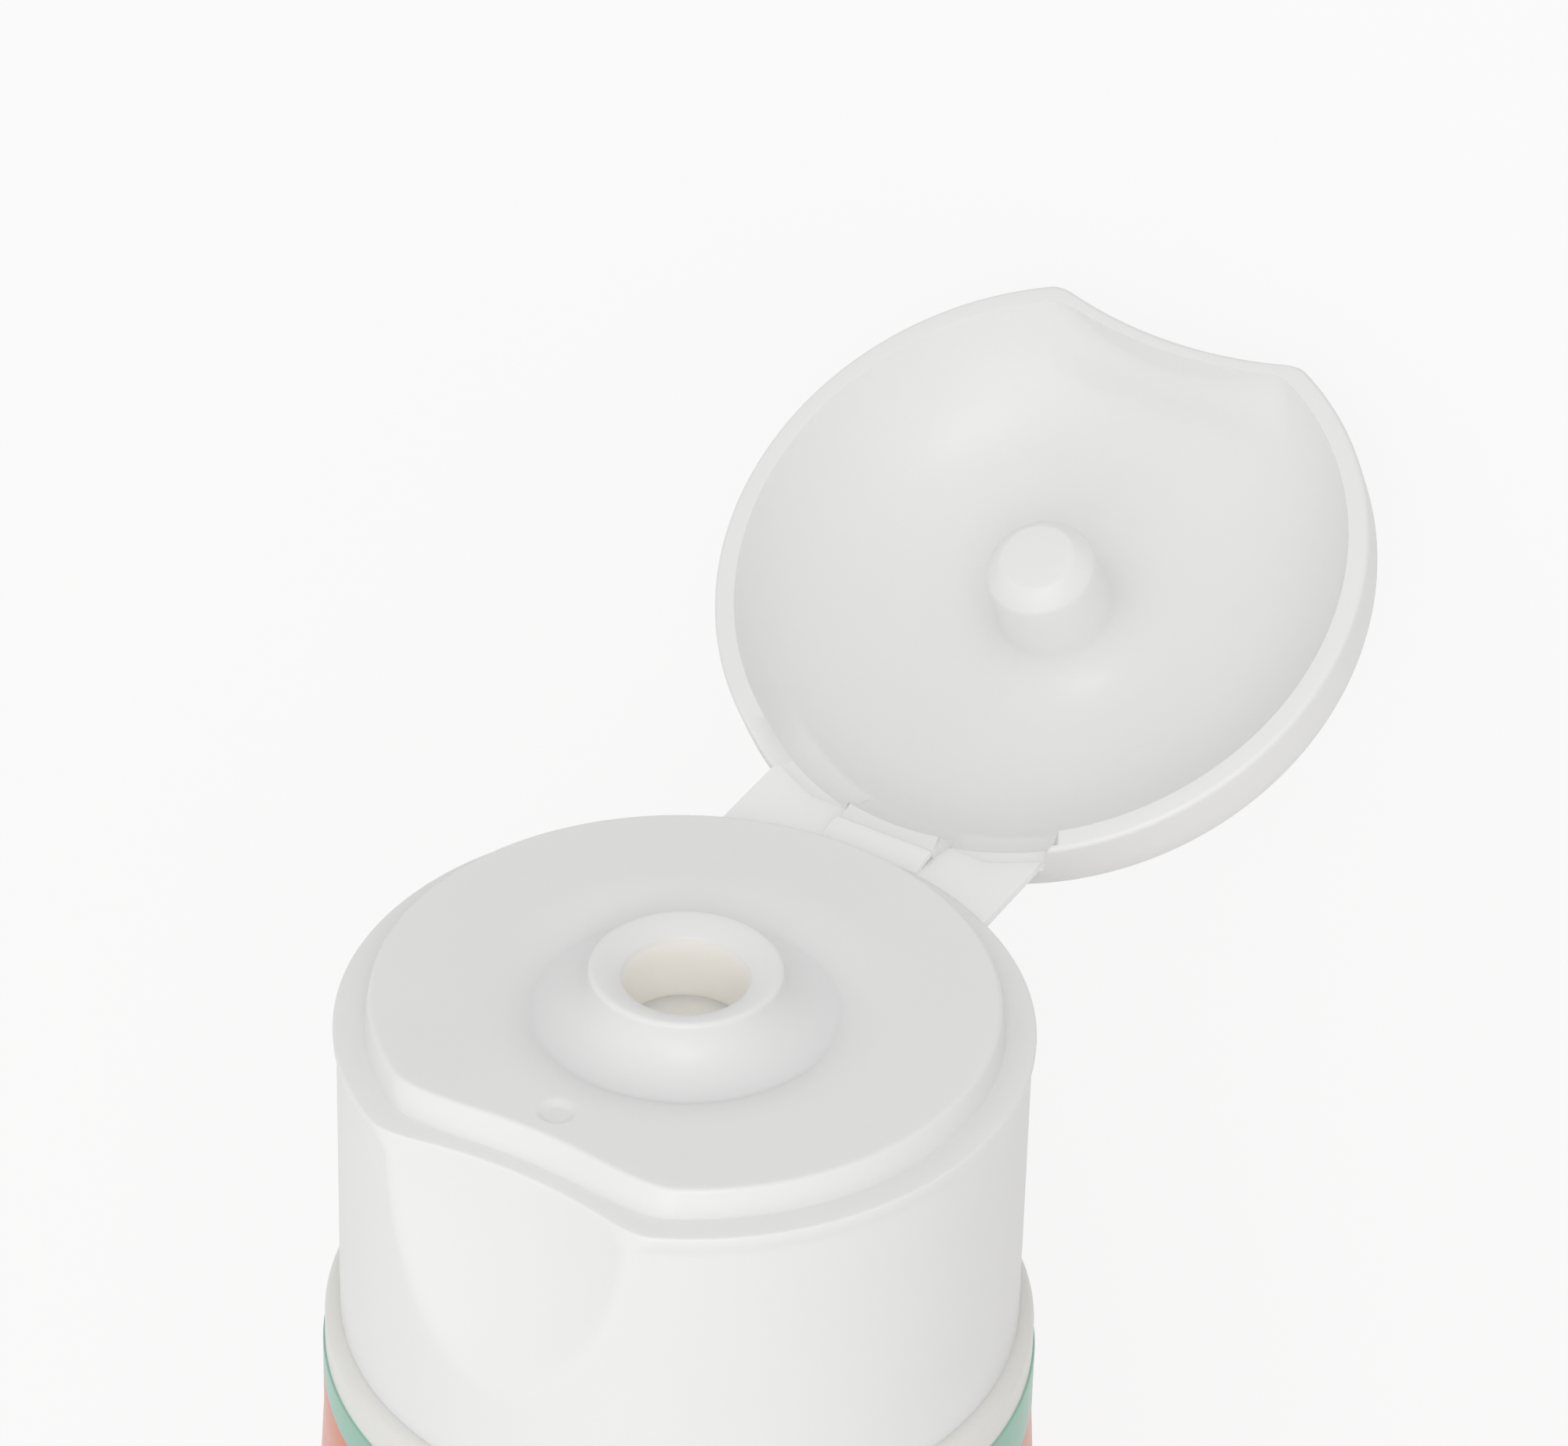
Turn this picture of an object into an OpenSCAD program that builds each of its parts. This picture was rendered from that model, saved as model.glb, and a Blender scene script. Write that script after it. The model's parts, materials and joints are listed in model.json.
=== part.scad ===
// Squeeze tube for sunscreen with a flip top cap, lying on its back with the lid open.
// Every piece is drawn in the cap's own frame and then laid down by one transform: there the origin is
// the centre of the ledge that the lid closes on, z points out of the orifice and y points to the hinge.

/* [Tube] */
// Outer diameter of the round end of the sleeve
tube_d = 40.2; // [38:0.1:46]
// Thickness of the sleeve's film
sleeve_wall = 0.5; // [0.4:0.05:0.8]
// Length of the sleeve from its printed edge to the crimped end
sleeve_l = 127; // [90:1:160]
// Height of the welded crimp
crimp_h = 8; // [5:0.5:14]
// Depth of the shallow grooves pressed across the crimp
crimp_groove = 0.12; // [0.05:0.01:0.2]
// Number of grooves pressed across the crimp
crimp_grooves = 5; // [3:1:7]

/* [Head] */
// Height of the bare collar between the sleeve's edge and the cap
collar_h = 3; // [2:0.1:5]
// How far the sleeve's edge stands proud of the collar
collar_step = 0.12; // [0.05:0.01:0.25]
// Thickness of the collar and the shoulder
head_wall = 1.2; // [0.9:0.1:1.6]
// Length of the collar that is welded inside the sleeve
weld_l = 4.8; // [3:0.1:7]
// Rise of the sloping shoulder inside the skirt
shoulder_h = 4.7; // [3:0.1:6]
// Outer diameter of the neck
neck_d = 22; // [20:0.5:24]
// Thickness of the neck
neck_wall = 1.4; // [1:0.1:2]
// Height of the snap bead on the neck
bead_h = 0.45; // [0.2:0.05:0.6]

/* [Cap base] */
// Height of the skirt below the ledge
skirt_h = 19.2; // [17:0.1:24]
// How far the skirt is set in from the sleeve
cap_inset = 1; // [0.5:0.1:2]
// Wall thickness of the cap
cap_wall = 1.2; // [1:0.05:1.4]
// How far the flange overhangs the skirt
flange_out = 0.2; // [0.1:0.05:0.4]
// Thickness of the flange
flange_t = 0.9; // [0.6:0.1:1.4]
// Width of the ledge between the flange's edge and the deck
ledge_w = 1.7; // [1.6:0.05:2.4]
// Height of the deck above the ledge
deck_h = 1.75; // [1.2:0.05:2.2]
// How far the deck's wall leans in over its height
deck_draft = 0.2; // [0.1:0.05:0.4]
// Rounding of the cap's outer edges
edge_r = 0.3; // [0.15:0.05:0.4]

/* [Nozzle] */
// Diameter of the orifice
orifice_d = 6.8; // [6:0.1:7.4]
// How far the orifice widens at its mouth
mouth_flare = 0.2; // [0.1:0.05:0.4]
// Diameter of the nozzle's rim
nozzle_d = 10.4; // [10:0.1:11.4]
// Height of the nozzle's rim above the ledge
nozzle_h = 3.65; // [3.2:0.05:3.8]
// Width of the nozzle's flank between its rim and its foot
flank_w = 3.4; // [3:0.1:4]
// Width of the ring groove's outer slope
moat_w = 1.6; // [1:0.1:2.2]
// Depth of the ring groove around the nozzle
moat_depth = 0.6; // [0.3:0.05:0.8]
// Length of the spout below the deck
spout_l = 3; // [2:0.1:4]
// Diameter of the moulding gate's dimple
dimple_d = 2.3; // [1.5:0.1:3]
// Distance of the dimple from the orifice
dimple_y = 12.7; // [12.2:0.1:13.4]

/* [Lid] */
// Height of the lid over the ledge when it is shut
lid_h = 8.6; // [8.2:0.1:10]
// Height of the lid's upright wall
lid_wall_h = 2.5; // [2.2:0.1:3]
// Reach of the crown's rounding in from the wall
crown_reach = 9.8; // [7:0.2:11]
// Gap between the shut lid and the ledge
lid_gap = 0.08; // [0.05:0.01:0.12]
// Gap between the plug pin and the orifice's wall
pin_gap = 0.2; // [0.15:0.05:0.4]
// Rounding of the pin's tip
pin_tip_r = 0.9; // [0.8:0.05:1.2]
// How far the pin's tip reaches below the ledge when the lid is shut
pin_reach = 0.5; // [0:0.1:1]
// Width of the flare at the pin's root
pin_flare = 3.4; // [2.5:0.1:4.5]

/* [Thumb recess] */
// Depth of the recess at the ledge
recess_depth = 2.9; // [2:0.1:3]
// Width of the recess at the ledge
recess_w = 16; // [14:0.2:17]
// Distance below the ledge at which the recess runs out
recess_reach = 16; // [13:0.5:18]

/* [Hinge] */
// Distance of the hinge line outside the flange's edge
hinge_out = 0.5; // [0.4:0.05:0.7]
// Height of the hinge line over the ledge
hinge_z = 0.4; // [0.3:0.05:0.5]
// Angle between the shut lid and the lid at rest
lid_open = 151.5; // [140:0.5:160]
// Width of the hinge blocks
hinge_w = 18.4; // [17:0.2:20]
// Width of the middle hinge strip
film_w = 6.2; // [5:0.2:7]
// Thickness of the middle hinge strip
film_t = 0.35; // [0.25:0.05:0.5]
// Gap between the strip or a strap and the blocks beside it
hinge_gap = 0.1; // [0.05:0.01:0.15]
// Thickness of the side straps
strap_t = 0.8; // [0.6:0.05:1]
// Distance of the straps' base line in from the hinge line
strap_in = 1.1; // [1:0.05:1.3]
// Distance of the straps' base line below the ledge
strap_drop = 1.3; // [1.1:0.05:1.5]
// Distance of the straps' lid line in from the hinge line
strap_lid_in = 1.9; // [1.7:0.05:2]
// Height of the straps' lid line over the ledge when the lid is shut
strap_lid_z = 2.1; // [1.9:0.05:2.3]

/* [Hidden] */
$fn = 96;
cut = 1;              // how far a cutter runs past what it cuts
fit = 0.05;           // gap between pieces that sit on or in each other
hull_fn = 64;         // sides of the rounds that a soft hull is wrapped around
steps = 14;           // steps of an arc worked out point by point
press_t = 0.02;       // half thickness of the closed film where the crimp begins
fill_gap = 0.25;      // gap between the lotion and what holds it
fill_end = 4;         // distance of the lotion's end from the crimp
neck_clear = 5.75;    // distance of the neck's top below the underside of the deck
bead_l = 3;           // distance of the snap bead below the neck's top
mouth_l = 1.2;        // depth of the orifice's mouth below the rim

tube_r = tube_d / 2;
skirt_r = tube_r - cap_inset;
flange_r = skirt_r + flange_out;
deck_r = flange_r - ledge_w;
hinge_y = flange_r + hinge_out;
sleeve_top = -skirt_h - collar_h;
sleeve_end = sleeve_top - sleeve_l;
crimp_top = sleeve_end + crimp_h;
crimp_half = PI * tube_r / 2;
collar_r = tube_r - collar_step;
neck_r = neck_d / 2;
shoulder_top = -skirt_h + shoulder_h;
deck_under = deck_h - cap_wall;
neck_top = deck_under - neck_clear;
bead_top = neck_top - bead_l;
snap_r = neck_r + bead_h + fit;
snap_end = shoulder_top + 1;
orifice_r = orifice_d / 2;
orifice_top = nozzle_h - mouth_l;
orifice_end = deck_under - spout_l;
rim_r = nozzle_d / 2;
moat_z = deck_h - moat_depth;
flank_r = rim_r + flank_w;
moat_r = flank_r + moat_w;
nozzle_edge = moat_r + 0.6;
pin_r = orifice_r - pin_gap;
crown_r = flange_r - crown_reach;
crown_rise = lid_h - lid_wall_h;
white = [0.93, 0.93, 0.925];
warm_white = [0.91, 0.905, 0.88];

// The recess is a barrel lying against the cap: an arc of radius recess_vr turned about an upright axis.
recess_y = flange_r - recess_depth;
recess_sag = recess_y - sqrt(flange_r ^ 2 - (recess_w / 2) ^ 2);
recess_pr = (recess_w ^ 2 / 4 + recess_sag ^ 2) / (2 * abs(recess_sag));
recess_vr = (recess_reach ^ 2 + recess_depth ^ 2) / (2 * recess_depth);
recess_axis = recess_y + recess_pr;
function barrel_r(z) = recess_pr - recess_vr + sqrt(recess_vr ^ 2 - z ^ 2);

// Half an ellipse's quarter, from its side (0 degrees) to its top (90 degrees)
function crown(reach, rise, n = steps) =
    [for (i = [0 : n]) let (a = 90 * i / n) [crown_r + reach * cos(a), lid_wall_h + rise * sin(a)]];

// Quarter round from angle a0 to a1 about a centre
function arc(cy, cz, r, a0, a1, n = 5) =
    [for (i = [0 : n]) let (a = a0 + (a1 - a0) * i / n) [cy + r * cos(a), cz + r * sin(a)]];

// Where the tube comes to rest: on the lid's rounded front edge and on the crimp's edge. The front edge is
// the outline's foremost point at each height, on the recess's corner where the recess cuts the outline.
function front_y(r, z) =
    r + barrel_r(z) > recess_axis ? -(r ^ 2 - barrel_r(z) ^ 2 + recess_axis ^ 2) / (2 * recess_axis) : -r;
function opened(p, angle) = let (y = p[0] - hinge_y, z = p[1] - hinge_z)
    [hinge_y + y * cos(angle) + z * sin(angle), hinge_z - y * sin(angle) + z * cos(angle)];
lid_front = [for (p = concat([[flange_r, lid_gap]], crown(crown_reach, crown_rise, 60)))
    opened([front_y(p[0], p[1]), p[1]], lid_open)];
function drop(p, tilt) = p[0] * cos(tilt) - p[1] * sin(tilt);
function ahead(p, tilt) = p[0] * sin(tilt) + p[1] * cos(tilt);
function lid_drop(tilt) = max([for (p = lid_front) drop(p, tilt)]);
function crimp_drop(tilt) = drop([sleeve_wall, sleeve_end], tilt);
function settle(low, high, n = 16) = let (mid = (low + high) / 2)
    n == 0 ? mid : lid_drop(mid) > crimp_drop(mid) ? settle(mid, high, n - 1) : settle(low, mid, n - 1);
tilt = settle(5, 60);
rest_z = crimp_drop(tilt);
rest_y = -(max([for (p = lid_front) ahead(p, tilt)]) + ahead([-sleeve_wall, sleeve_end], tilt)) / 2;

// The side straps turn about the base line as the lid opens
strap_y = hinge_y - strap_in;
strap_lid_y = hinge_y - strap_lid_in;
strap_far = opened([strap_lid_y, strap_lid_z], lid_open);
strap_l = norm([strap_lid_y - strap_y, strap_lid_z + strap_drop]);
strap_angle = atan2(strap_far[1] + strap_drop, strap_far[0] - strap_y);
strap_ratio = (atan2(strap_lid_z + strap_drop, strap_lid_y - strap_y) - strap_angle) / lid_open;
strap_side = film_w / 2 + 2 * hinge_gap;
strap_w = hinge_w / 2 - strap_side - 2 * hinge_gap;

// Lays a piece down from the cap's frame to the rest pose
module laid() {
    translate([0, rest_y, rest_z]) rotate([tilt - 90, 0, 0]) children();
}

// Turns a piece of the shut lid open about the hinge line
module swung() {
    translate([0, hinge_y, hinge_z]) rotate([-lid_open, 0, 0]) translate([0, -hinge_y, -hinge_z]) children();
}

// Draws a side profile given as [y, z] points, w wide and centred on x
module across(w, x = 0) {
    translate([x - w / 2, 0, 0]) rotate([90, 0, 90]) linear_extrude(w) children();
}

// Barrel of the thumb recess, grown by a wall, between two heights
module barrel(grow, low, high) {
    arc_points = [for (i = [0 : 2 * steps]) let (z = low + (high - low) * i / (2 * steps))
        [recess_pr - recess_vr + sqrt((recess_vr + grow) ^ 2 - z ^ 2), z]];
    translate([0, -recess_axis, 0]) rotate_extrude() polygon(concat([[0, low]], arc_points, [[0, high]]));
}

// Flat bar with round edges that the sleeve narrows to
module pressed_bar(half_w, half_t, h) {
    linear_extrude(h) {
        square([2 * (half_w - half_t), 2 * half_t], center = true);
        for (side = [-1, 1]) translate([side * (half_w - half_t), 0]) circle(half_t, $fn = 16);
    }
}

// Space from a round end between two heights to a flat end
module sleeve_space(r, low, top, flat_z, half_t) {
    hull() {
        translate([0, 0, low]) cylinder(r = r, h = top - low, $fn = hull_fn);
        translate([0, 0, flat_z]) pressed_bar(crimp_half - tube_r + r, half_t, 0.01);
    }
}

module tube_sleeve() {
    laid() color([0.86, 0.47, 0.3]) {
        difference() {
            sleeve_space(tube_r, sleeve_top - weld_l, sleeve_top, crimp_top, sleeve_wall);
            sleeve_space(tube_r - sleeve_wall, sleeve_top - weld_l, sleeve_top + cut, crimp_top, press_t);
        }
        crimp();
    }
}

// Welded end of the sleeve, grooved across where the hot bars pressed it
module crimp() {
    pitch = crimp_h / (crimp_grooves + 1);
    translate([0, 0, sleeve_end]) difference() {
        pressed_bar(crimp_half, sleeve_wall, crimp_h);
        for (i = [1 : crimp_grooves], side = [-1, 1])
            translate([-crimp_half - cut, side * sleeve_wall, pitch * i]) rotate([0, 90, 0])
                cylinder(r = crimp_groove, h = 2 * (crimp_half + cut), $fn = 16);
    }
}

module tube_head() {
    weld_r = (tube_r - sleeve_wall) * cos(180 / hull_fn) - fit / 2;
    low = sleeve_top - weld_l;
    outside = concat(
        [[weld_r, low], [weld_r, sleeve_top - fit], [collar_r, sleeve_top - fit]],
        arc(collar_r - edge_r, -skirt_h - edge_r, edge_r, 0, 90),
        [[skirt_r - cap_wall - cut, -skirt_h], [neck_r + 0.5, shoulder_top], [neck_r, shoulder_top + 0.5],
         [neck_r, bead_top - 1.2], [neck_r + bead_h, bead_top - 0.6], [neck_r + bead_h, bead_top - 0.4],
         [neck_r, bead_top], [neck_r, neck_top - 0.4], [neck_r - 0.4, neck_top]]);
    inside = [[neck_r - neck_wall, neck_top], [neck_r - neck_wall, shoulder_top - 0.4],
              [weld_r - head_wall - 1.5, -skirt_h - 1.6], [weld_r - head_wall, -skirt_h - 3.2],
              [weld_r - head_wall, low]];
    laid() color(warm_white) rotate_extrude() polygon(concat(outside, inside));
}

module lotion() {
    in_r = neck_r - neck_wall - fill_gap;
    wide_r = tube_r - 2 * sleeve_wall - head_wall - fill_gap - 1.5;
    top = sleeve_top - weld_l - fill_gap;
    laid() color([0.95, 0.91, 0.82]) {
        sleeve_space(tube_r - sleeve_wall - fill_gap, top - 0.01, top, crimp_top + fill_end, press_t);
        rotate_extrude() polygon([[0, top - cut], [wide_r, top - cut], [wide_r, -skirt_h - 3.6],
            [in_r, shoulder_top - 1.6], [in_r, neck_top - 2], [0, neck_top - 2]]);
    }
}

// Skirt, flange and ledge as one turned shell
module skirt() {
    rotate_extrude() polygon(concat(
        [[skirt_r - cap_wall, -skirt_h + fit], [skirt_r, -skirt_h + fit], [skirt_r, -flange_t]],
        arc(flange_r - flange_out, -flange_t + flange_out, flange_out, -90, 0),
        arc(flange_r - edge_r, -edge_r, edge_r, 0, 90),
        [[deck_r - cut, 0], [deck_r - cap_wall, -cap_wall], [skirt_r - cap_wall, -cap_wall]]));
}

// Deck around the nozzle
module deck() {
    top_r = deck_r - deck_draft;
    rotate_extrude() polygon(concat(
        [[deck_r - cap_wall, -cap_wall], [deck_r, -edge_r], [deck_r, 0]],
        arc(top_r - edge_r, deck_h - edge_r, edge_r, 0, 90),
        [[nozzle_edge, deck_h], [nozzle_edge, deck_under], [deck_r - 2 * cap_wall, deck_under]]));
}

// Middle of the deck with the ring groove, the domed nozzle, its spout and the ring that seals in the neck
module nozzle() {
    mouth_r = orifice_r + mouth_flare;
    rim_round = (rim_r - mouth_r) / 2;
    rim_foot = nozzle_h - rim_round;
    outer = nozzle_edge - fit;
    seal_r = neck_r - neck_wall - fit;
    seal_t = 0.9;
    flank = [for (i = [0 : steps]) let (a = 90 * i / steps)
        [flank_r - (flank_r - rim_r) * sin(a), rim_foot - (rim_foot - moat_z) * cos(a)]];
    laid() color(white) rotate_extrude() polygon(concat(
        [[outer, deck_under], [outer, deck_h], [moat_r, deck_h], [moat_r - moat_w * 0.3, deck_h - moat_depth * 0.25],
         [moat_r - moat_w * 0.75, moat_z + moat_depth * 0.12]],
        flank, arc(rim_r - rim_round, rim_foot, rim_round, 0, 180, 8),
        [[orifice_r, orifice_top], [orifice_r, orifice_end], [orifice_r + cap_wall, orifice_end],
         [orifice_r + cap_wall, deck_under], [seal_r - seal_t, deck_under], [seal_r - seal_t, neck_top - 1.9],
         [seal_r - 0.4, neck_top - 1.9], [seal_r, neck_top - 1.4], [seal_r, deck_under]]));
}

// Ring below the deck that snaps over the neck's bead
module snap_collar() {
    catch_z = bead_top - 1.4;
    rotate_extrude() polygon([[snap_r, deck_under + fit], [snap_r, catch_z], [neck_r + fit, catch_z - 0.5],
        [neck_r + fit, catch_z - 0.7], [snap_r, snap_end + 0.4], [snap_r + 0.3, snap_end],
        [snap_r + cap_wall, snap_end], [snap_r + cap_wall, deck_under + fit]]);
}

// Wall behind the recess, inside the outline between two heights
module recess_wall(r, low, high) {
    intersection() {
        translate([0, 0, low]) cylinder(r = r, h = high - low);
        barrel(cap_wall, low, high);
    }
}

// Block at the back of the skirt that carries the hinge, stepped down where the straps lie
module base_block() {
    foot = -strap_drop - 6;
    across(hinge_w) polygon([[deck_r - 0.5, foot], [skirt_r - 0.4, foot], [strap_y, -strap_drop - 3.2],
        [strap_y, -strap_drop], [deck_r - 0.5, -strap_drop]]);
    across(film_w) polygon([[deck_r - 0.5, foot], [skirt_r, foot], [hinge_y - 0.2, -strap_drop - 2],
        [hinge_y - 0.2, -0.3], [hinge_y - 0.4, -0.1], [deck_r + 0.2, -0.1]]);
}

// Pockets beside the strip in which the straps lie when the lid is shut
module strap_pockets(low, high) {
    for (side = [-1, 1])
        translate([side * (film_w / 2 + hinge_w / 2) / 2, hinge_y, (low + high) / 2])
            cube([(hinge_w - film_w) / 2 + 0.01, 2 * (strap_lid_in + strap_t + 3 * hinge_gap), high - low],
                 center = true);
}

module cap_base() {
    laid() color(white) {
        difference() {
            union() {
                skirt();
                recess_wall(skirt_r, -recess_reach, -cap_wall);
                base_block();
            }
            barrel(0, -recess_reach, cut);
            strap_pockets(-strap_drop, cut);
        }
        difference() {
            union() {
                deck();
                snap_collar();
            }
            translate([0, -recess_axis, -cap_wall / 2])
                cylinder(r1 = recess_pr + ledge_w, r2 = recess_pr + ledge_w + deck_draft, h = deck_h + cap_wall);
            translate([0, -dimple_y, deck_h + 0.35]) sphere(d = dimple_d, $fn = 32);
        }
    }
}

// Pin that plugs the orifice, flaring into the crown like a bell
module plug_pin() {
    root_r = pin_r + pin_flare;
    flare_z = nozzle_h + 0.5;
    ceiling = lid_h - cap_wall;
    flare = [for (i = [0 : steps]) let (a = 90 * i / steps)
        [root_r - (root_r - pin_r) * cos(a), flare_z + (ceiling - flare_z) * sin(a)]];
    rotate_extrude() polygon(concat([[0, -pin_reach]],
        arc(pin_r - pin_tip_r, -pin_reach + pin_tip_r, pin_tip_r, -90, 0), flare,
        [[root_r, lid_h - cap_wall / 2], [0, lid_h - cap_wall / 2]]));
}

// Domed shell of the lid
module lid_shell() {
    rotate_extrude() polygon(concat(
        [[flange_r - cap_wall, lid_gap]], arc(flange_r - edge_r, lid_gap + edge_r, edge_r, -90, 0),
        crown(crown_reach, crown_rise), [[0, lid_h], [0, lid_h - cap_wall]],
        [for (i = [steps : -1 : 0]) crown(crown_reach - cap_wall, crown_rise - cap_wall)[i]]));
}

// Envelope of the lid without its hollow
module lid_envelope() {
    rotate_extrude() polygon(concat([[0, lid_gap], [flange_r, lid_gap]], crown(crown_reach, crown_rise),
        [[0, lid_h]]));
}

// Block at the back of the lid that carries the hinge, stepped up where the straps lie
module lid_block() {
    top = strap_lid_z + 3;
    across(hinge_w) polygon([[deck_r + 0.2, strap_lid_z], [strap_lid_y, strap_lid_z],
        [strap_lid_y, strap_lid_z + 1.4], [deck_r - 1.6, top]]);
    across(film_w) polygon([[deck_r + 0.5, 0.9], [hinge_y - 0.2, 0.9], [hinge_y - 0.2, strap_lid_z],
        [deck_r - 1.4, top]]);
}

module lid() {
    laid() swung() color(white) difference() {
        union() {
            difference() {
                union() {
                    lid_shell();
                    intersection() {
                        lid_envelope();
                        barrel(cap_wall, lid_gap, lid_h + cut);
                    }
                    lid_block();
                }
                barrel(0, -cut, lid_h + cut);
            }
            plug_pin();
        }
        strap_pockets(-cut, strap_lid_z);
        translate([-film_w / 2, hinge_y - 1, -cut]) cube([film_w, 2, cut + 0.9]);
    }
}

module hinge_film() {
    end = opened([hinge_y - 0.25, 0.9 - hinge_gap], lid_open);
    start = [hinge_y - 0.2 + hinge_gap, -0.1];
    laid() color(white) across(film_w) polygon([start, [end[0], end[1] - film_t],
        [end[0], end[1]], [hinge_y + 0.2, film_t], [hinge_y - 0.2 + hinge_gap, film_t - 0.1]]);
}

// Stiff part of one side strap, between its two thin bending lines
module strap(side) {
    long = strap_l - 2 * hinge_gap;
    laid() color(white) translate([0, strap_y, -strap_drop]) rotate([strap_angle, 0, 0])
        across(strap_w, side * (strap_side + strap_w / 2))
            polygon([[hinge_gap, 0], [long, 0], [long, strap_t / 2], [long - strap_t / 2, strap_t],
                     [hinge_gap + strap_t / 2, strap_t], [hinge_gap, strap_t / 2]]);
}

module hinge_strap_left() {
    strap(-1);
}

module hinge_strap_right() {
    strap(1);
}

tube_sleeve();
tube_head();
lotion();
cap_base();
nozzle();
lid();
hinge_film();
hinge_strap_left();
hinge_strap_right();
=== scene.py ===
"""Dresses the squeeze tube: printed sleeve, moulded collar, flip top cap with its snap hinge, and lotion.

Every shape is worked out in the cap's own frame, in millimetres: its origin is the centre of the ledge that
the lid closes on, x runs along the hinge, y points back to the hinge and z points out of the orifice. The
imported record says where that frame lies, so one placing step brings a surface into the row's frame.
"""

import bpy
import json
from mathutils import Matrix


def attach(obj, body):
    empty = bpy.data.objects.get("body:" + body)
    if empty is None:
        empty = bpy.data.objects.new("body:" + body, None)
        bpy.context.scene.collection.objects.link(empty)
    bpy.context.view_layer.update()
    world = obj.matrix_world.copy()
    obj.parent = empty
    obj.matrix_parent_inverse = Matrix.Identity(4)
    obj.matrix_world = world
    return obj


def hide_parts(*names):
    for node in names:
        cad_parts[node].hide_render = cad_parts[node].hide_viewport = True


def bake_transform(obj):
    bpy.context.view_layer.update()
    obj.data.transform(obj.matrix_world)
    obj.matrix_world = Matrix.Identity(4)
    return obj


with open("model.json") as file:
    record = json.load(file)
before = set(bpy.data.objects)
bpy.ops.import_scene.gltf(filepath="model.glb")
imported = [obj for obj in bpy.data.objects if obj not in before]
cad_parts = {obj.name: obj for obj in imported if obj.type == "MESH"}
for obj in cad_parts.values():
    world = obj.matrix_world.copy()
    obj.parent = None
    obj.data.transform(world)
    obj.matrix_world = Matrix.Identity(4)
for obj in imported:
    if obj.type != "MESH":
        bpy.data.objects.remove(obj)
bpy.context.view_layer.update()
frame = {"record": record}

import json
import logging
import math
from dataclasses import dataclass, field
from enum import Enum
from typing import Any

import bmesh
import bpy
import numpy as np
from mathutils import Matrix

logging.basicConfig(level=logging.INFO, format="%(message)s")
LOG = logging.getLogger("tube")

MM = 0.001
FAR = 99.0
PHOTO_SIZE = (2004, 1848)


class Body(Enum):
    """The rigid bodies that a piece can ride on."""

    TUBE = "tube"
    LID = "lid"


class Slot(Enum):
    """The record's material slots."""

    SLEEVE = "printed_sleeve"
    HEAD = "head_white"
    LOTION = "lotion_cream"
    CAP = "cap_white"


def smooth_min(a: np.ndarray, b: np.ndarray, k: float) -> np.ndarray:
    """Smaller of two arrays, rounded where they cross: mix(b, a, h) - k h (1 - h), h = 1/2 + (b - a) / 2k.

    Args:
        a: First array.
        b: Second array.
        k: Width of the rounding, in the arrays' unit.

    Returns:
        The rounded minimum.
    """
    h = np.clip(0.5 + 0.5 * (b - a) / k, 0.0, 1.0)
    return b * (1.0 - h) + a * h - k * h * (1.0 - h)


def ramp(x: np.ndarray, low: float, high: float) -> np.ndarray:
    """Smooth step 3t^2 - 2t^3 of x, from 0 at low to 1 at high."""
    t = np.clip((x - low) / (high - low), 0.0, 1.0)
    return t * t * (3.0 - 2.0 * t)


def quarter(cy: float, cz: float, ry: float, rz: float, start: float, stop: float, count: int) -> np.ndarray:
    """Points (cy + ry cos a, cz + rz sin a) of an ellipse's arc, a running from start to stop in degrees.

    Args:
        cy: Centre's first coordinate.
        cz: Centre's second coordinate.
        ry: Half axis along the first coordinate.
        rz: Half axis along the second coordinate.
        start: First angle.
        stop: Last angle.
        count: Number of points.

    Returns:
        Array of shape (count, 2).
    """
    a = np.radians(np.linspace(start, stop, count))
    return np.stack([cy + ry * np.cos(a), cz + rz * np.sin(a)], axis=-1)


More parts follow.
